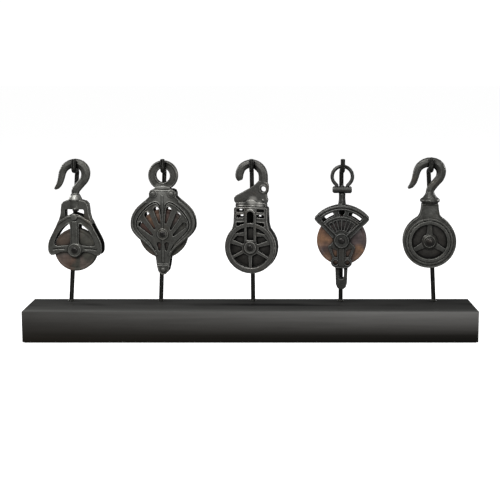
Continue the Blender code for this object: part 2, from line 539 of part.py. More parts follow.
def pulley_4(origin):
    sweep = arc((0, -13.3), 22.6, -42, 222, 16)
    path = [(11.9, -42), (11.9, -33.4)] + sweep + [(-11.9, -33.4), (-11.9, -42)]
    finish(rod([(x, 0, z, 4.3) for x, z in path], 2), "p4_ring", STEEL, origin)
    bar = turned([(0, 21.7), (5, 21.7), (8, 18.8), (8, -18.8), (5, -21.7), (0, -21.7)], (0, 0, P4_CROSSHEAD), "X", 16)
    sockets = [turned([(0, 30), (4.8, 30), (4.8, -0.6), (0, -0.6)], (x, 0, P4_CROSSHEAD + 0.4), "Z", 12)
               for x in (-11.9, 11.9)]
    bore = turned([(0, 30), (3.6 + FIT, 30), (3.6 + FIT, -30), (0, -30)], (0, 0, P4_CROSSHEAD), "Z", 12)
    finish(cut(bar, *sockets, bore), "p4_crosshead", IRON, origin)
    top = P4_CROSSHEAD - 8 - FIT
    stem = turned([(0, -32.4), (2.6, -32.8), (4.6, -34.4), (4.6, -34.7), (3.6, -34.7), (3.6, top), (7.6, top),
                   (7.4, -62), (8.2, -70), (8.6, -73), (10, -76.2), (10, -88), (0, -88)], axis="Z", sides=16)
    finish(stem, "p4_swivel_stem", IRON, origin)

    def polar(radius, angle):
        return (radius * math.sin(math.radians(angle)), P4_HUB + radius * math.cos(math.radians(angle)))

    crown = [polar(79.0, angle) for angle in (7, 12, 18, 24, 30, 36, 42)]
    lower = [(61.0, -106), (59.5, -110.5), (53.5, -117.5), (46, -123.5), (20, -150.5), (18.4, -157), (21, -161.5),
             (30.5, -170.5), (25, -184), (19.8, -196.5)]
    tail = arc((13.3, -205.5), 10.4, 30, -60, 4) + [(14.2, -217.4), (8, -218), (0, -218)]
    outline = both_sides([(0, -75.5), (6, -75.8)] + crown + lower + tail)

    def light(start, end):
        turns = [start + (end - start) * i / 4 for i in range(5)]
        return [polar(66.5, turn) for turn in turns] + [polar(57.8, turn) for turn in reversed(turns)]

    keyhole = arc((0, -91.4), 6.8, -62, 242, 8) + [(-3.2, -104.5), (3.2, -104.5)]
    slots = [[polar(46.5, a), polar(46.5, a + 8.6), polar(24, a + 8.2), polar(24, a + 0.4)]
             for a in (2.2, 15.4, 28.6)]
    side = [(9.5, -177.5), (16, -174.5), (23.5, -172.5), (19.5, -184.5), (15, -193.5), (9.5, -194)]
    pairs = [*slots, side]
    pairs += [mirror(window) for window in pairs]

    def band(outer, inner):
        return relief([polar(outer, a) for a in range(-42, 43, 7)] + [polar(inner, a) for a in range(42, -43, -7)])

    def fan(windows):
        solid = joined(
            plate(outline, PLATE_FRONT, PLATE_BACK, (*pairs, *windows)),
            hub_boss(P4_HUB, 17.6),
            plate([(-15, -77.5), (15, -77.5), (15, -88.5), (-15, -88.5)], PLATE_BACK + 1, FIT / 2),
        )
        return cut(
            solid,
            turned([(0, -60), (10 + FIT, -60), (10 + FIT, -88 - FIT), (0, -88 - FIT)], axis="Z", sides=16),
            drill(AXLE_RADIUS + FIT, 0, P4_HUB),
        )

    slot = both_sides([(0, -219), (4.4, -219), (5.4, -222), (5.4, -238)] + arc((0, -238.5), 5.4, -20, -90, 3))
    becket = plate(both_sides([(0, -213), (12, -213), (14, -217), (13.4, -230), (12.6, -254), (10, -262.5),
                               (5.5, -266.6), (0, -267)]), PLATE_BACK - FIT, -PLATE_BACK + FIT, (slot,), 1.2)
    finish(becket, "p4_becket", IRON, origin)
    back = fan((light(22.5, 43.5), light(-38, -19)))
    rear = turned_back(back)
    bpy.data.objects.remove(back)
    front = joined(
        fan((keyhole, light(14, 44), light(-44, -17))),
        band(77.6, 74.4),
        band(71.8, 69.2),
        band(54.4, 50.6),
        relief(ribbon([polar(54, 45.4), polar(17, 45)], 3.4), RELIEF_FRONT + 0.3),
        relief(ribbon([polar(54, -45.4), polar(17, -45)], 3.4), RELIEF_FRONT + 0.3),
        relief(ribbon([(0, -172), (0, -214)], 10.5), RELIEF_FRONT + 0.3),
    )
    front = cut(front, *[drill(5.8, x, -205.5, back=0) for x in (-13.3, 13.3)])
    finish(rear, "p4_rear_plate", IRON, origin)
    finish(front, "p4_front_plate", IRON, origin)

    hub_and_axle("p4", origin, P4_HUB, 6.8, wheel(55.6, 6.5, BUSH_RADIUS), WOODS["p4"])


# ---------------------------------------------------------------- pulley 5: drum shell on a swivel hook
P5_HUB = -159.5
P5_RADIUS = 59.4
P5_BORE = 6.5


def pulley_5(origin):
    spine = [(0, -52, 9.7), (0, -47, 9.7), (2.4, -40, 9.8), (13.2, -26.4, 9.6), (19.8, -18.7, 10), (23.3, -8.5, 10.6),
             (22.7, 2.2, 11.5), (15.4, 12.4, 12.0), (1.0, 17.0, 11.8), (-12.8, 15.2, 10.5), (-24.4, 7.4, 9.4),
             (-30.2, -3.6, 8.4), (-32.9, -15.8, 7.7), (-36.4, -26.6, 7.0), (-42.2, -35.8, 5.8), (-49, -41, 2.7)]
    cap = [(0, -48), (9.0, -48), (11.5, -54.5), (16.5, -61.2), (21.6, -64.8), (22.5, -67), (21.8, -70.2), (18.8, -72),
           (18.4, -74.6), (P5_BORE, -74.6), (P5_BORE, -98), (0, -98)]
    finish(forged_hook(spine, cap), "p5_hook", IRON, origin)
    finish(hex_nut(8.9, P5_BORE + FIT, -90, 6.6), "p5_swivel_nut", IRON, origin)

    top = -74.6 - FIT
    outline = both_sides([(0, top), (18.4, top), (19, -80), (19.8, -88), (21.6, -96.5), (23.6, -101), (26, -104.6),
                          (29.6, -107.6), (34, -110.4), (39, -114.6)]
        + arc((0, P5_HUB), P5_RADIUS, 44, -90, 15))
    opening, hub = 38.4, 15.6
    windows = []
    for middle in (30, 150, 270):
        windows.append(arc((0, P5_HUB), opening, middle - 53, middle + 53, 7)
                       + arc((0, P5_HUB), hub + 2.4, middle + 38, middle - 38, 3))
    neck = both_sides([(0, top), (18.4, top), (19, -80), (19.8, -88), (20.4, -94), (0, -100)])
    blank = joined(
        cut(plate(outline, PLATE_FRONT - 1.5, 5.0, windows),
            plate(circle((0, P5_HUB), P5_RADIUS - 3.8, 30), PLATE_BACK, 0)),
        plate(inset(neck, 0.4), PLATE_FRONT - 2.6, FIT / 2),
        hub_boss(P5_HUB, hub, RELIEF_FRONT - 0.4),
        hub_boss(P5_HUB, 10.8, BOSS_FRONT - 0.6, 16),
    )
    blank = cut(
        blank,
        turned([(0, 10), (P5_BORE + FIT, 10), (P5_BORE + FIT, -89.7), (9.8, -89.7), (9.8, -108), (0, -108)], axis="Z",
               sides=16),
        drill(AXLE_RADIUS + FIT, 0, P5_HUB),
    )
    rear = turned_back(blank)
    front = joined(
        blank,
        relief(circle((0, P5_HUB), 52.2, 30), PLATE_FRONT + 0.2, (circle((0, P5_HUB), 47.8, 28),)),
        relief(circle((0, P5_HUB), 46.3, 30), windows=(circle((0, P5_HUB), opening + 1.0, 28),)),
    )
    finish(rear, "p5_rear_shell", IRON, origin)
    finish(front, "p5_front_shell", IRON, origin)
    hub_and_axle("p5", origin, P5_HUB, 8.0, wheel(52.5, 6.0, AXLE_RADIUS + FIT), bush=False)


# ---------------------------------------------------------------- assembly
for old in list(bpy.data.objects):
    bpy.data.objects.remove(old)
plinth()
posts()
for (_, arm_x, extra), make in zip(POSTS.values(), (pulley_1, pulley_2, pulley_3, pulley_4, pulley_5)):
    make((arm_x, POST_Y - HOOK_OFFSET, PLINTH_TOP + ARM_HEIGHT + PIVOT_RISE + extra))
stand = bpy.data.collections.new("pulley_display")
bpy.context.scene.collection.children.link(stand)
for piece in list(bpy.context.scene.collection.objects):
    bpy.context.scene.collection.objects.unlink(piece)
    stand.objects.link(piece)
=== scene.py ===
"""Looks for five antique iron pulleys hung on bent rods above a long dark plinth."""
import json
import math

import bmesh
import bpy
from mathutils import Matrix, Vector


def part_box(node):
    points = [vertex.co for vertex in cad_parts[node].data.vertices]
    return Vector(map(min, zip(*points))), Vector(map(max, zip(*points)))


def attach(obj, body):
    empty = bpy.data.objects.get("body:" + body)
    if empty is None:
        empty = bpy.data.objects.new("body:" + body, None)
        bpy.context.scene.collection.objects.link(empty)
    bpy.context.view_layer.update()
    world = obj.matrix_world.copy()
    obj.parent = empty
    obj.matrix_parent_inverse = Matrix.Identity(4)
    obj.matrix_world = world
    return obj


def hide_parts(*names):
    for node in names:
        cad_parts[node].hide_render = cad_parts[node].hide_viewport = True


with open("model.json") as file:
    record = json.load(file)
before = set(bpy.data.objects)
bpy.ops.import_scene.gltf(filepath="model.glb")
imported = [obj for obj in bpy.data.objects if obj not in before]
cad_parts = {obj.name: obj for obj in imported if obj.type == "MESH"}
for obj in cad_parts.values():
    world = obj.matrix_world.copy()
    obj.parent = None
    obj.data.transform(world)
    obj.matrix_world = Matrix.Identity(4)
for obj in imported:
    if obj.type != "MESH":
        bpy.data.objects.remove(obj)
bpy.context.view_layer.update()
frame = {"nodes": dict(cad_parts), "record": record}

MM = 0.001
NODES = frame["nodes"]
JOINTS = {joint["name"]: joint for joint in frame["record"]["behaviour"]["joints"]}
BODY_OF = {node: body for body, nodes in frame["record"]["behaviour"]["bodies"].items() for node in nodes}
PULLEYS = ("p1", "p2", "p3", "p4", "p5")
CASTING_GRID, FORGING_GRID, ROD_GRID = 0.75 * MM, 0.6 * MM, 0.55 * MM  # fineness of the fused shapes
FULL_SHADE_DEPTH, NO_SHADE_DEPTH = 10.6 * MM, 13.6 * MM  # painted shade inside a block, full and gone: from the hooks' plane to a plate's back and to near its front
PLAIN_BORE, BUSHED_BORE = 5.3 * MM, 9.5 * MM
PIN_SHANK, PIN_RISE = 5.0 * MM, 2.1 * MM  # axle pins: the shank's radius and the height of the domed head
RIVET_SHANK, RIVET_RISE = 3.0 * MM, 2.4 * MM
COLLAR_BEAD = 1.2 * MM
SCRIBED_AT = 0.86  # the turned ring on a wheel's face, over the wheel's radius
EYE_DROP, EYE_FACE = 33.4 * MM, 6.2 * MM  # pulley 2's eye: from its top to its centre, and to its beads
EYE_BEADS, EYE_BEAD = (17.6, 30.6), 1.7 * MM
FLOOR_HALF = 80.0


def middle(node):
    low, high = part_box(node)
    return (Vector(low) + Vector(high)) / 2


def axle(pulley):
    """A point on the pulley's axle in the hooks' plane, and the direction of its front."""
    joint = JOINTS[f"{pulley}_wheel_turn"]
    return Vector(joint["pos_m"]), -Vector(joint["axis"]).normalized()


# ---------------------------------------------------------------- materials
def shader_of(name):
    material = bpy.data.materials.new(name)
    material.use_nodes = True
    nodes, links = material.node_tree.nodes, material.node_tree.links
    return material, nodes, links, nodes["Principled BSDF"]


def noise(nodes, links, where, scale, detail=4.0, roughness=0.55, distortion=0.0):
    made = nodes.new("ShaderNodeTexNoise")
    made.inputs["Scale"].default_value = scale
    made.inputs["Detail"].default_value = detail
    made.inputs["Roughness"].default_value = roughness
    made.inputs["Distortion"].default_value = distortion
    links.new(where, made.inputs["Vector"])
    return made.outputs["Fac"]


def ramp(nodes, links, value, *stops):
    made = nodes.new("ShaderNodeValToRGB")
    while len(made.color_ramp.elements) < len(stops):
        made.color_ramp.elements.new(0.5)
    for element, (position, colour) in zip(made.color_ramp.elements, stops):
        element.position = position
        element.color = (*colour, 1) if len(colour) == 3 else (colour[0],) * 3 + (1,)
    links.new(value, made.inputs["Fac"])
    return made.outputs["Color"]


def blend_colour(nodes, links, factor, first, second, kind="MIX"):
    made = nodes.new("ShaderNodeMix")
    made.data_type, made.blend_type = "RGBA", kind
    for value, socket in ((factor, made.inputs[0]), (first, made.inputs[6]), (second, made.inputs[7])):
        if isinstance(value, bpy.types.NodeSocket):
            links.new(value, socket)
        else:
            socket.default_value = value if isinstance(value, float) else (*value, 1)
    return made.outputs[2]


def bump(nodes, links, height, strength, distance, under=None):
    made = nodes.new("ShaderNodeBump")
    made.inputs["Strength"].default_value = strength
    made.inputs["Distance"].default_value = distance
    links.new(height, made.inputs["Height"])
    if under is not None:
        links.new(under, made.inputs["Normal"])
    return made.outputs["Normal"]


def place(nodes, links, scale=(1, 1, 1), shift=(0, 0, 0)):
    coordinates, mapping = nodes.new("ShaderNodeTexCoord"), nodes.new("ShaderNodeMapping")
    mapping.inputs["Scale"].default_value = scale
    mapping.inputs["Location"].default_value = shift
    links.new(coordinates.outputs["Object"], mapping.inputs["Vector"])
    return mapping.outputs["Vector"]


def occlusion_shade(nodes, links, colour, reach, floor, depth=(0.25, 0.8)):
    """Painted shade: darkens the colour where the surface is shut in, where shade falls in hollows, creases
    and between parts; reach is how near counts.
    """
    hidden = nodes.new("ShaderNodeAmbientOcclusion")
    hidden.samples = 12
    hidden.inputs["Distance"].default_value = reach
    low, high = depth
    tone = ramp(nodes, links, hidden.outputs["AO"], (low, (floor,)), (high, (1,)))
    return blend_colour(nodes, links, 1.0, colour, tone, "MULTIPLY")


def from_point(nodes, links, centre, radius, inner=0.4):
    """1 near a point of the frame, fading to 0 at the radius."""
    gap = nodes.new("ShaderNodeVectorMath")
    gap.operation = "DISTANCE"
    links.new(place(nodes, links), gap.inputs[0])
    gap.inputs[1].default_value = centre
    made = nodes.new("ShaderNodeMapRange")
    made.inputs["From Min"].default_value, made.inputs["From Max"].default_value = radius, radius * inner
    links.new(gap.outputs["Value"], made.inputs["Value"])
    return made.outputs["Result"]


def iron(name, dark, light, edge, metallic=0.75, rough=(0.36, 0.56), grain=0.3, seed=0.0, shade_reach=0.017,
         inside=None, highlight_spots=()):
    """Blackened cast iron: pitted, with painted shade in the hollows, and rubbed lighter on the edges.
    Painted shade turns it black deep inside a block, given as its axle's middle and direction and a radius.
    Painted highlights are given as spots holding (point, radius, strength)."""
    material, nodes, links, shader = shader_of(name)
    where = place(nodes, links, shift=(seed, seed * 0.7, -seed))
    cloud = noise(nodes, links, where, 60, 6, 0.62)
    sand = noise(nodes, links, where, 1000, 3, 0.6)
    pits = noise(nodes, links, where, 330, 5, 0.65)
    colour = ramp(nodes, links, cloud, (0.36, dark), (0.66, light))
    rust = ramp(nodes, links, noise(nodes, links, where, 24, 5, 0.6), (0.54, (0,)), (0.74, (0.5,)))
    colour = blend_colour(nodes, links, rust, colour, (dark[0] * 1.5, dark[1] * 1.2, dark[2] * 0.95))
    speckle = ramp(nodes, links, pits, (0.34, (0.78,)), (0.62, (1.1,)))
    colour = blend_colour(nodes, links, 1.0, colour, speckle, "MULTIPLY")
    geometry = nodes.new("ShaderNodeNewGeometry")
    rubbed = ramp(nodes, links, geometry.outputs["Pointiness"], (0.505, (0,)), (0.58, (1,)))
    worn = blend_colour(nodes, links, 1.0, rubbed, ramp(nodes, links, pits, (0.35, (0.5,)), (0.6, (1,))),
                        "MULTIPLY")
    colour = blend_colour(nodes, links, worn, colour, edge)
    # Painted highlights: lighter patches at the given spots, where the light catches the plates.
    for point, radius, strength in highlight_spots:
        patchy = ramp(nodes, links, cloud, (0.3, (strength * 0.6,)), (0.6, (strength,)))
        spot = blend_colour(nodes, links, 1.0, from_point(nodes, links, point, radius), patchy, "MULTIPLY")
        colour = blend_colour(nodes, links, spot, colour, edge)
    # Painted shade in the creases, where the surface turns inward.
    crease_shade = ramp(nodes, links, geometry.outputs["Pointiness"], (0.455, (0.08,)), (0.497, (1,)))
    colour = blend_colour(nodes, links, 1.0, colour, crease_shade, "MULTIPLY")
    # Painted shade: surfaces deep inside the block, near the axle, go near black.
    if inside:
        centre, axis, radius = inside
        offset, depth = nodes.new("ShaderNodeVectorMath"), nodes.new("ShaderNodeVectorMath")
        offset.operation, depth.operation = "SUBTRACT", "DOT_PRODUCT"
        links.new(place(nodes, links), offset.inputs[0])
        offset.inputs[1].default_value = centre
        links.new(offset.outputs["Vector"], depth.inputs[0])
        depth.inputs[1].default_value = axis
        size = nodes.new("ShaderNodeMath")
        size.operation = "ABSOLUTE"
        links.new(depth.outputs["Value"], size.inputs[0])
        deep = nodes.new("ShaderNodeMapRange")
        deep.inputs["From Min"].default_value = FULL_SHADE_DEPTH
        deep.inputs["From Max"].default_value = NO_SHADE_DEPTH
        links.new(size.outputs["Value"], deep.inputs["Value"])
        away = from_point(nodes, links, centre, radius, 0.9)
        black = ramp(nodes, links, deep.outputs["Result"], (0.0, (0.12,)), (1.0, (1.0,)))
        colour = blend_colour(nodes, links, 1.0, colour,
                              blend_colour(nodes, links, away, (1, 1, 1), black), "MULTIPLY")
    # Painted shade in the hollows and between parts, from the occlusion.
    links.new(occlusion_shade(nodes, links, colour, shade_reach, 0.01, (0.55, 0.985)), shader.inputs["Base Color"])
    low, high = rough
    links.new(ramp(nodes, links, cloud, (0.3, (high,)), (0.7, (low,))), shader.inputs["Roughness"])
    fine = bump(nodes, links, sand, grain, 0.0004)
    links.new(bump(nodes, links, pits, grain * 1.2, 0.0008, fine), shader.inputs["Normal"])
    shader.inputs["Metallic"].default_value = metallic
    shader.inputs["Specular IOR Level"].default_value = 0.3
    return material


def wood(name, centre, sheen_sectors, rough=0.5, seed=0.0):
    """Old turned wood, with painted reflection and shade in sectors round the axle, as a turned face throws
    its sheen:
    the sectors are (turn, colour), from the left side through the bottom, 0.25, the right side, 0.5, and the
    top, 0.75."""
    material, nodes, links, shader = shader_of(name)
    from_axle = place(nodes, links, shift=-centre)
    split, flat = nodes.new("ShaderNodeSeparateXYZ"), nodes.new("ShaderNodeCombineXYZ")
    links.new(from_axle, split.inputs["Vector"])
    links.new(split.outputs["X"], flat.inputs["X"])
    links.new(split.outputs["Z"], flat.inputs["Y"])
    wander, where = nodes.new("ShaderNodeMix"), nodes.new("ShaderNodeTexNoise")
    where.inputs["Scale"].default_value, where.inputs["Detail"].default_value = 45, 5
    links.new(from_axle, where.inputs["Vector"])
    wander.data_type, wander.blend_type = "RGBA", "LINEAR_LIGHT"
    wander.inputs[0].default_value = 0.02
    links.new(flat.outputs["Vector"], wander.inputs[6])
    links.new(where.outputs["Color"], wander.inputs[7])
    turn = nodes.new("ShaderNodeTexGradient")
    turn.gradient_type = "RADIAL"
    links.new(wander.outputs[2], turn.inputs["Vector"])
    # Painted reflection and shade: the colour goes by the turn round the axle.
    colour = ramp(nodes, links, turn.outputs["Fac"], *sheen_sectors)
    stretched = place(nodes, links, (25, 60, 260), shift=(seed, 0, seed * 3))
    grain = noise(nodes, links, stretched, 1.0, 8, 0.62, 0.5)
    blotch = noise(nodes, links, place(nodes, links, shift=(seed, 2, seed)), 70, 6, 0.6)
    for layer in (ramp(nodes, links, grain, (0.3, (0.72,)), (0.7, (1.15,))),
                  ramp(nodes, links, blotch, (0.32, (0.6,)), (0.66, (1.2,)))):
        colour = blend_colour(nodes, links, 1.0, colour, layer, "MULTIPLY")
    # Painted shade in the hollows and near the castings' edges.
    links.new(occlusion_shade(nodes, links, colour, 0.014, 0.02, (0.35, 0.9)), shader.inputs["Base Color"])
    sheen = ramp(nodes, links, blotch, (0.3, (rough + 0.15,)), (0.7, (rough - 0.1,)))
    links.new(sheen, shader.inputs["Roughness"])
    links.new(bump(nodes, links, grain, 0.3, 0.0005), shader.inputs["Normal"])
    shader.inputs["Specular IOR Level"].default_value = 0.4
    return material


def black_paint(name):
    """Semi-gloss black rods with faint draw marks and dust."""
    material, nodes, links, shader = shader_of(name)
    where = place(nodes, links)
    cloud = noise(nodes, links, where, 90, 4, 0.6)
    drawn = noise(nodes, links, place(nodes, links, (500, 500, 12)), 1.0, 3, 0.5)
    links.new(ramp(nodes, links, cloud, (0.35, (0.028, 0.028, 0.026)), (0.7, (0.050, 0.050, 0.046))),
              shader.inputs["Base Color"])
    links.new(ramp(nodes, links, cloud, (0.3, (0.30,)), (0.75, (0.38,))), shader.inputs["Roughness"])
    shader.inputs["Metallic"].default_value = 0.85
    shader.inputs["Specular IOR Level"].default_value = 0.3
    links.new(bump(nodes, links, drawn, 0.12, 0.0003), shader.inputs["Normal"])
    return material


def along(nodes, links, where, axis, low, high):
    """How far a point is from low to high along an axis, from 0 to 1."""
    split, made = nodes.new("ShaderNodeSeparateXYZ"), nodes.new("ShaderNodeMapRange")
    links.new(where, split.inputs["Vector"])
    made.inputs["From Min"].default_value, made.inputs["From Max"].default_value = low, high
    links.new(split.outputs[axis], made.inputs["Value"])
    return made.outputs["Result"]


def plinth_paint(name, low, high):
    """Satin black-brown paint over close-grained wood, with painted reflection lighter upwards and to the
    right, a painted shade streak along the top where the pulleys' shadows fall, painted shade towards the
    top's back and a painted highlight on its front edge."""
    material, nodes, links, shader = shader_of(name)
    where = place(nodes, links)
    height = along(nodes, links, where, "Z", low[2], high[2])
    # Painted reflection: both ramps grow lighter upwards, the lamps' reflection on the paint; the first is
    # the dimmer left end, the second the brighter right end.
    dimmer_height_light = ramp(nodes, links, height, (0.0, (0.011, 0.0085, 0.0060)), (0.25, (0.020, 0.0180, 0.0150)),
                 (0.6, (0.038, 0.036, 0.033)), (0.97, (0.068, 0.066, 0.062)), (1.0, (0.072, 0.072, 0.068)))
    brighter_height_light = ramp(nodes, links, height, (0.0, (0.003, 0.0025, 0.0016)), (0.22, (0.012, 0.0108, 0.0090)),
                 (0.5, (0.080, 0.077, 0.073)), (0.97, (0.185, 0.183, 0.176)), (1.0, (0.036, 0.036, 0.034)))
    cloud = noise(nodes, links, place(nodes, links, (7, 14, 22)), 1.0, 5, 0.55)
    # Painted light: the mix leans to the brighter ramp towards the right.
    side = blend_colour(nodes, links, 0.12, along(nodes, links, where, "X", low[0], high[0] * 0.75), cloud,
                        "LINEAR_LIGHT")
    colour = blend_colour(nodes, links, side, dimmer_height_light, brighter_height_light)
    long_grain = noise(nodes, links, place(nodes, links, (5, 130, 130)), 1.0, 7, 0.6, 0.15)
    fine = noise(nodes, links, place(nodes, links, (30, 900, 900)), 1.0, 4, 0.6)
    depth = along(nodes, links, where, "Y", low[1], high[1])
    # Painted shade: a broken dark streak across the middle of the top, where the pulleys' shadows fall.
    streaks = noise(nodes, links, place(nodes, links, (3.2, 10, 0.1), (5.2, 0.4, 0)), 1.0, 3, 0.5, 0.3)
    line = ramp(nodes, links, depth, (0.36, (0,)), (0.47, (1,)), (0.56, (1,)), (0.66, (0,)))
    broken = ramp(nodes, links, streaks, (0.46, (0.1,)), (0.58, (1.0,)))
    streak_shade_mask = blend_colour(nodes, links, 1.0, line, broken, "MULTIPLY")
    painted_streak_shade = blend_colour(nodes, links, streak_shade_mask, (1, 1, 1), (0.06, 0.06, 0.06))
    # Painted shade growing towards the back of the top, with a painted highlight just behind the front edge.
    shade = ramp(nodes, links, depth, (0.004, (1.0,)), (0.02, (1.25,)), (0.2, (0.66,)), (0.8, (0.46,)),
                 (1.0, (0.4,)))
    tone = ramp(nodes, links, long_grain, (0.3, (0.88,)), (0.7, (1.1,)))
    for layer in (tone, painted_streak_shade, shade):
        colour = blend_colour(nodes, links, 1.0, colour, layer, "MULTIPLY")
    links.new(colour, shader.inputs["Base Color"])
    links.new(ramp(nodes, links, cloud, (0.3, (0.40,)), (0.7, (0.52,))), shader.inputs["Roughness"])
    coarse = bump(nodes, links, long_grain, 0.10, 0.0004)
    links.new(bump(nodes, links, fine, 0.10, 0.0002, coarse), shader.inputs["Normal"])
    shader.inputs["Specular IOR Level"].default_value = 0.12
    return material


def felt(name):
    material, nodes, links, shader = shader_of(name)
    fibres = noise(nodes, links, place(nodes, links), 2500, 3, 0.7)
    links.new(ramp(nodes, links, fibres, (0.3, (0.006, 0.006, 0.006)), (0.7, (0.02, 0.02, 0.021))),
              shader.inputs["Base Color"])
    links.new(bump(nodes, links, fibres, 0.6, 0.0005), shader.inputs["Normal"])
    shader.inputs["Roughness"].default_value = 0.95
    return material


# pulley: (dark, light and worn colours, seed, radius of the painted shade inside the block, painted highlight
# spots as
#          (x and z from the axle in mm, radius in mm, strength))
IRON_LOOKS = {
    "p1": ((0.080, 0.080, 0.072), (0.145, 0.145, 0.132), (0.42, 0.42, 0.39), 1.3, 76,
           [(0, 70, 12, 0.3), (0, 118, 11, 0.9)]),
    "p2": ((0.074, 0.074, 0.067), (0.130, 0.130, 0.120), (0.44, 0.44, 0.41), 2.9, 80,
           [(-6, 102, 16, 1.0), (14, 99, 12, 0.7), (0, 84, 26, 0.4)]),
    "p3": ((0.074, 0.073, 0.067), (0.134, 0.132, 0.124), (0.58, 0.57, 0.53), 4.1, 84,
           [(2, 104, 13, 1.0), (18, 97, 10, 0.8), (-24, 95, 9, 0.7), (0, 84, 14, 0.5)]),
    "p4": ((0.040, 0.041, 0.038), (0.074, 0.075, 0.070), (0.36, 0.36, 0.35), 5.7, 70, []),
    "p5": ((0.058, 0.058, 0.053), (0.104, 0.104, 0.096), (0.34, 0.34, 0.31), 7.7, 56, []),
}
IRONS = {}
for pulley, (dark, light, worn, seed, inside, spots) in IRON_LOOKS.items():
    centre, front = axle(pulley)
    highlight_spots = [(centre + Vector((x, -10, z)) * MM, radius * MM, strength)
                for x, z, radius, strength in spots]
    IRONS[pulley] = iron(f"iron_{pulley}", dark, light, worn, seed=seed, inside=(centre, front, inside * MM),
                         highlight_spots=highlight_spots)
PIN_IRON = iron("iron_pins", (0.024, 0.023, 0.022), (0.042, 0.040, 0.038), (0.13, 0.125, 0.12), 0.8,
                (0.26, 0.4), 0.15, 0.0, 0.005)
# Dark iron for the wheels, its colours darkened further as painted shade where the wheels show through the
# windows.
SHADED_WHEEL_IRON = iron("iron_wheels", (0.018, 0.017, 0.015), (0.055, 0.052, 0.046), (0.07, 0.066, 0.06), 0.5,
                  (0.5, 0.7), 0.3, 9.1, 0.018)
NUT_STEEL = iron("steel_nuts", (0.05, 0.05, 0.05), (0.09, 0.09, 0.088), (0.3, 0.3, 0.29), 0.9,
                 (0.3, 0.45), 0.15, 3.3)
BROWN, RUSSET, OLIVE = (0.115, 0.072, 0.052), (0.100, 0.052, 0.040), (0.062, 0.060, 0.048)
AMBER, PLUM, MAUVE = (0.235, 0.125, 0.068), (0.085, 0.060, 0.058), (0.115, 0.090, 0.078)
UMBER = (0.085, 0.060, 0.044)
# Each wheel's sectors paint the sheen and shade of its turned face.
WOODS = {
    "p1": wood("wood_p1", middle("p1_wheel"),
               [(0.0, OLIVE), (0.08, MAUVE), (0.2, BROWN), (0.235, OLIVE), (0.28, OLIVE), (0.31, MAUVE),
                (0.42, OLIVE), (0.68, OLIVE), (0.78, UMBER), (0.9, UMBER)], 0.5, 0.4),
    "p2": wood("wood_p2", middle("p2_wheel"),
               [(0.0, RUSSET), (0.12, OLIVE), (0.2, RUSSET), (0.3, OLIVE), (0.6, OLIVE), (0.7, RUSSET),
                (0.85, AMBER), (0.95, RUSSET)], 0.5, 1.7),
    "p4": wood("wood_p4", middle("p4_wheel"),
               [(0.0, AMBER), (0.1, PLUM), (0.17, AMBER), (0.34, BROWN), (0.42, AMBER), (0.47, PLUM),
                (0.66, PLUM), (0.85, RUSSET), (1.0, AMBER)], 0.45, 2.6),
}
PAINT = black_paint("black_rod")


# ---------------------------------------------------------------- meshes
def linked(name, data):
    made = bpy.data.objects.new(name, data)
    bpy.context.scene.collection.objects.link(made)
    return made


def mesh_of(shape, name="shape"):
    """The mesh of a bmesh, which is freed."""
    made = bpy.data.meshes.new(name)
    shape.to_mesh(made)
    shape.free()
    return made


def settled(piece):
    """Applies the piece's modifiers to its mesh."""
    shape = bpy.data.meshes.new_from_object(piece.evaluated_get(bpy.context.evaluated_depsgraph_get()))
    piece.modifiers.clear()
    old, piece.data = piece.data, shape
    bpy.data.meshes.remove(old)
    return piece


def merged(name, meshes):
    """One mesh object from several meshes in the frame's own coordinates."""
    shape = bmesh.new()
    for mesh in meshes:
        shape.from_mesh(mesh)
    return linked(name, mesh_of(shape, name))


def mirrored(mesh, centre, normal):
    """A copy of the mesh on the other side of the plane through the centre."""
    turn = Matrix.Translation(centre) @ Matrix.Scale(-1, 4, normal) @ Matrix.Translation(-centre)
    shape = bmesh.new()
    shape.from_mesh(mesh)
    bmesh.ops.transform(shape, matrix=turn, verts=shape.verts)
    bmesh.ops.reverse_faces(shape, faces=shape.faces)
    return mesh_of(shape)


def tubes(runs, radius):
    """Round bars of one radius, each along its own run of points."""
    curve = bpy.data.curves.new("tubes", "CURVE")
    curve.dimensions, curve.fill_mode, curve.use_fill_caps = "3D", "FULL", True
    curve.bevel_depth, curve.bevel_resolution = radius, 2
    for run in runs:
        spline = curve.splines.new("POLY")
        spline.points.add(len(run) - 1)
        for point, position in zip(spline.points, run):
            point.co = (*position, 1)
    guide = linked("guide", curve)
    mesh = bpy.data.meshes.new_from_object(guide.evaluated_get(bpy.context.evaluated_depsgraph_get()))
    bpy.data.objects.remove(guide)
    return mesh


def rims(node, centre, front, radius, level, least):
    """Beads just inside the edges of the node's front face, as on the real castings. Only edges at the level,
    measured along the front direction, and further than the least distance from the axle get one."""
    shape = bmesh.new()
    shape.from_mesh(NODES[node].data)
    bmesh.ops.remove_doubles(shape, verts=shape.verts, dist=0.00001)
    outward, edges = {}, []
    for edge in shape.edges:
        if len(edge.link_faces) != 2:
            continue
        face, side = sorted(edge.link_faces, key=lambda item: -item.normal.dot(front))
        flat = face.normal.dot(front) > 0.97 and abs(side.normal.dot(front)) < 0.5
        convex = (side.calc_center_median() - edge.verts[0].co).dot(face.normal) < -0.00001
        if flat and convex and abs(edge.verts[0].co.dot(front) - level) < 0.0004:
            edges.append(edge)
            for vert in edge.verts:
                outward[vert] = outward.get(vert, Vector()) + side.normal - front * side.normal.dot(front)
    runs = [[vert.co - outward[vert].normalized() * radius * 0.9 - front * radius * 0.25
             for vert in edge.verts] for edge in edges if (edge.verts[0].co - centre).length > least]
    shape.free()
    return tubes(runs, radius)


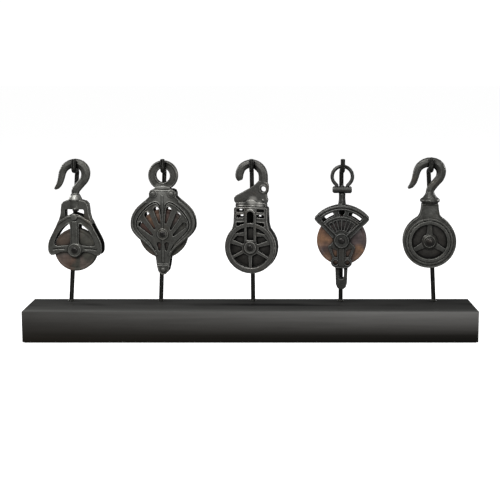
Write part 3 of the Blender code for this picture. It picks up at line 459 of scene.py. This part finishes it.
def ring(centre, axis, radius, bead, sides=40):
    """A round bead about the axis."""
    spoke = axis.orthogonal().normalized()
    points = [centre + Matrix.Rotation(2 * math.pi * i / sides, 4, axis) @ spoke * radius
              for i in range(sides + 1)]
    return tubes([points], bead)


def lathe(profile, centre, axis, sides=96):
    """A turned shape from (radius, height) points in metres, with height along the axis."""
    shape = bmesh.new()
    verts = [shape.verts.new((radius, 0, height)) for radius, height in profile]
    pairs = list(zip(verts, verts[1:]))
    if profile[0][0] > 0:
        pairs.append((verts[-1], verts[0]))
    edges = [shape.edges.new(pair) for pair in pairs]
    bmesh.ops.spin(shape, geom=verts + edges, cent=(0, 0, 0), axis=(0, 0, 1), angle=2 * math.pi, steps=sides)
    bmesh.ops.remove_doubles(shape, verts=shape.verts, dist=0.000001)
    bmesh.ops.recalc_face_normals(shape, faces=shape.faces)
    turn = Matrix.Translation(centre) @ axis.to_track_quat("Z", "Y").to_matrix().to_4x4()
    bmesh.ops.transform(shape, matrix=turn, verts=shape.verts)
    return mesh_of(shape)


def dress(piece, material, node):
    """Gives the piece its look, and the body and place of the node that it stands for."""
    piece.data.materials.clear()
    piece.data.materials.append(material)
    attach(piece, BODY_OF[node])
    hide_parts(node)
    return piece


def cast(name, meshes, material, node, grid=CASTING_GRID, rounds=3):
    """A casting: the shapes fused on a fine grid and softened in rounds, as a sand mould leaves them."""
    piece = merged(name, meshes)
    remesh = piece.modifiers.new("fuse", "REMESH")
    remesh.mode, remesh.voxel_size, remesh.use_smooth_shade = "VOXEL", grid, True
    soften = piece.modifiers.new("soften", "SMOOTH")
    soften.factor, soften.iterations = 0.5, rounds
    settled(piece)
    piece.data.shade_smooth()
    return dress(piece, material, node)


def reach(node, centre, axis):
    """How far the node's own mesh goes along the axis and away from it."""
    found = [(vert.co - centre, (vert.co - centre).dot(axis)) for vert in NODES[node].data.vertices]
    return max(along for _, along in found), max((offset - axis * along).length for offset, along in found)


# ---------------------------------------------------------------- castings
# pulley: (front node, rear node, how far its plates' faces stand from the hooks' plane, its rims' radius and
#          least distance from the axle, the height and radius of the bead round its axle's head)
CASTINGS = {
    "p1": ("p1_front_frame", "p1_rear_frame", 14.5, 1.25, 54, 16.8, 13.6),
    "p2": ("p2_front_plate", "p2_rear_plate", 14.5, 1.3, 58, 15.8, 11.6),
    "p3": ("p3_front_shell", "p3_rear_shell", 14.5, 1.1, 57, 16.8, 12.4),
    "p4": ("p4_front_plate", "p4_rear_plate", 14.5, 1.1, 47, 16.8, 15.4),
    "p5": ("p5_front_shell", "p5_rear_shell", 13.0, 1.2, 57, 15.4, 12.4),
}
for pulley, (front_node, rear_node, face, bead, least, collar, collar_radius) in CASTINGS.items():
    centre, front = axle(pulley)
    level = centre.dot(front) + face * MM
    shapes = [NODES[front_node].data, rims(front_node, centre, front, bead * MM, level, least * MM),
              ring(centre + front * collar * MM, front, collar_radius * MM, COLLAR_BEAD)]
    cast(f"{front_node}_cast", shapes, IRONS[pulley], front_node)
    behind = [mirrored(shape, centre, front) for shape in shapes[1:]]
    cast(f"{rear_node}_cast", [NODES[rear_node].data] + behind, IRONS[pulley], rear_node)
for node in ("p1_hook", "p3_hook_head", "p4_crosshead", "p4_swivel_stem", "p4_becket", "p5_hook"):
    cast(f"{node}_forging", [NODES[node].data], IRONS[node[:2]], node, FORGING_GRID, 5)
cast("p4_ring_forging", [NODES["p4_ring"].data], IRONS["p4"], "p4_ring", FORGING_GRID, 8)

eye_low, eye_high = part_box("p2_eye_ring")
eye_front = axle("p2")[1]
eye_centre = Vector((*(Vector(eye_low) + Vector(eye_high)).xy / 2, eye_high[2] - EYE_DROP))
beads = [ring(eye_centre + eye_front * side * EYE_FACE, eye_front, radius * MM, EYE_BEAD)
         for side in (1, -1) for radius in EYE_BEADS]
cast("p2_eye_ring_forging", [NODES["p2_eye_ring"].data, *beads], IRONS["p2"], "p2_eye_ring",
     FORGING_GRID, 4)

# ---------------------------------------------------------------- turned pieces
def both_ends(half):
    """A turned profile from its front half."""
    return half + [(radius, -height) for radius, height in reversed(half)]


def wheel_profile(radius, bore, half):
    """A sheave with rounded lips, a round groove and a shallow ring turned in each face."""
    line = radius * SCRIBED_AT
    scribed = [(bore, half - 0.3 * MM), (bore + 0.5 * MM, half),
               (line - 0.8 * MM, half), (line - 0.3 * MM, half - 0.25 * MM),
               (line + 0.3 * MM, half - 0.25 * MM), (line + 0.8 * MM, half)]
    rim = [(radius - depth * MM, half - inward * MM)
           for depth, inward in ((1.4, 0.1), (0.5, 0.5), (0, 1.5), (0.2, 2.4), (2.0, 4.0), (4.2, 6.0),
                                 (5.6, 7.8))]
    return both_ends(scribed + rim)


def pin_profile(head, shank, top, under):
    """A pin with a domed head at each end."""
    crown = [(head * math.sin(turn), top - (top - under) * 0.8 * (1 - math.cos(turn)))
             for turn in (math.radians(15 * step) for step in range(7))]
    return both_ends(crown + [(head, under), (shank, under)])


for pulley in PULLEYS:
    centre, front = axle(pulley)
    node = f"{pulley}_wheel"
    half, radius = reach(node, centre, front)
    bore = BUSHED_BORE if f"{pulley}_wheel_bush" in NODES else PLAIN_BORE
    wheel = linked(f"{pulley}_sheave", lathe(wheel_profile(radius, bore, half), centre, front, 128))
    wheel.data.shade_smooth()
    wheel.data.set_sharp_from_angle(angle=math.radians(40))
    dress(wheel, WOODS.get(pulley, SHADED_WHEEL_IRON), node)

for node in [name for name in NODES if name.endswith(("_rivet", "_axle_pin"))]:
    front = axle(node[:2])[1]
    middle_point = middle(node)
    top, head = reach(node, middle_point, front)
    shank, rise = (PIN_SHANK, PIN_RISE) if node.endswith("pin") else (RIVET_SHANK, RIVET_RISE)
    pin = linked(f"{node}_turned", lathe(pin_profile(head, shank, top, top - rise), middle_point, front, 64))
    pin.data.shade_smooth()
    pin.data.set_sharp_from_angle(angle=math.radians(50))
    dress(pin, PIN_IRON if node.endswith("pin") else IRONS[node[:2]], node)

# ---------------------------------------------------------------- posts and the rest
for pulley in PULLEYS:
    node = f"post_{pulley}"
    cast(f"{node}_bar", [NODES[node].data], PAINT, node, ROD_GRID, 8)

for node, obj in NODES.items():
    if node == "base_plinth":
        material = plinth_paint("plinth_paint", *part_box(node))
    elif node == "base_felt":
        material = felt("felt")
    elif node.startswith("post_nut"):
        material = NUT_STEEL
    else:
        material = PIN_IRON
    for slot in obj.material_slots:
        slot.material = material

# ---------------------------------------------------------------- stage, light and camera
def seen_or_not(tree, seen, unseen):
    """What the camera sees directly, and a duller stand-in for it in reflections, as black cards give."""
    path, mix = tree.nodes.new("ShaderNodeLightPath"), tree.nodes.new("ShaderNodeMixShader")
    tree.links.new(path.outputs["Is Camera Ray"], mix.inputs[0])
    tree.links.new(unseen, mix.inputs[1])
    tree.links.new(seen, mix.inputs[2])
    return mix.outputs[0]


floor = bpy.data.meshes.new("floor")
corners = [(-FLOOR_HALF, -FLOOR_HALF, 0), (FLOOR_HALF, -FLOOR_HALF, 0), (FLOOR_HALF, FLOOR_HALF, 0),
           (-FLOOR_HALF, FLOOR_HALF, 0)]
floor.from_pydata(corners, [], [(0, 1, 2, 3)])
floor = linked("floor", floor)
floor_paint, nodes, links, shader = shader_of("floor_paint")
shader.inputs["Base Color"].default_value = (0.6, 0.6, 0.6, 1)
shader.inputs["Roughness"].default_value = 0.9
shader.inputs["Specular IOR Level"].default_value = 0.1
shader.inputs["Emission Color"].default_value = (1, 1, 1, 1)
shader.inputs["Emission Strength"].default_value = 0.93
dull = nodes.new("ShaderNodeBsdfDiffuse")
dull.inputs["Color"].default_value = (0.22, 0.22, 0.22, 1)
links.new(seen_or_not(floor_paint.node_tree, shader.outputs[0], dull.outputs[0]),
          nodes["Material Output"].inputs["Surface"])
floor.data.materials.append(floor_paint)

world = bpy.data.worlds.new("studio")
bpy.context.scene.world = world
world.use_nodes = True
tree = world.node_tree
bright = tree.nodes["Background"]
bright.inputs["Color"].default_value, bright.inputs["Strength"].default_value = (1, 1, 1, 1), 1.05
dim = tree.nodes.new("ShaderNodeBackground")
dim.inputs["Color"].default_value, dim.inputs["Strength"].default_value = (1, 1, 1, 1), 0.10
tree.links.new(seen_or_not(tree, bright.outputs[0], dim.outputs[0]),
               tree.nodes["World Output"].inputs["Surface"])


def softbox(name, position, target, size, power):
    data = bpy.data.lights.new(name, "AREA")
    data.shape, data.size, data.size_y = "RECTANGLE", *size
    data.energy = power
    light = bpy.data.objects.new(name, data)
    bpy.context.scene.collection.objects.link(light)
    light.location = position
    light.rotation_mode = "QUATERNION"
    light.rotation_quaternion = (Vector(target) - Vector(position)).to_track_quat("-Z", "Y")


softbox("key", (-1.3, -2.1, 2.2), (0, 0, 0.25), (1.3, 0.9), 62)
softbox("fill", (0.8, -2.8, 0.7), (0, 0, 0.2), (1.0, 0.7), 18)
softbox("top", (0.2, -0.5, 2.4), (0, 0, 0.2), (1.8, 0.4), 22)
softbox("back left", (-2.3, 1.2, 0.9), (-0.1, 0, 0.22), (0.7, 0.7), 28)
softbox("back right", (2.3, 1.2, 0.9), (0.1, 0, 0.22), (0.7, 0.7), 28)

camera = bpy.data.objects.new("camera", bpy.data.cameras.new("camera"))
bpy.context.scene.collection.objects.link(camera)
camera.location = (0.0431, -2.2007, 0.5756)
camera.rotation_euler = (math.radians(90 - 6.917), 0, 0)
camera.data.sensor_width, camera.data.lens = 36, 72
camera.data.shift_x, camera.data.shift_y = -0.04, -0.1
camera.data.clip_start = 0.05
bpy.context.scene.camera = camera
bpy.context.scene.view_settings.view_transform = "Standard"
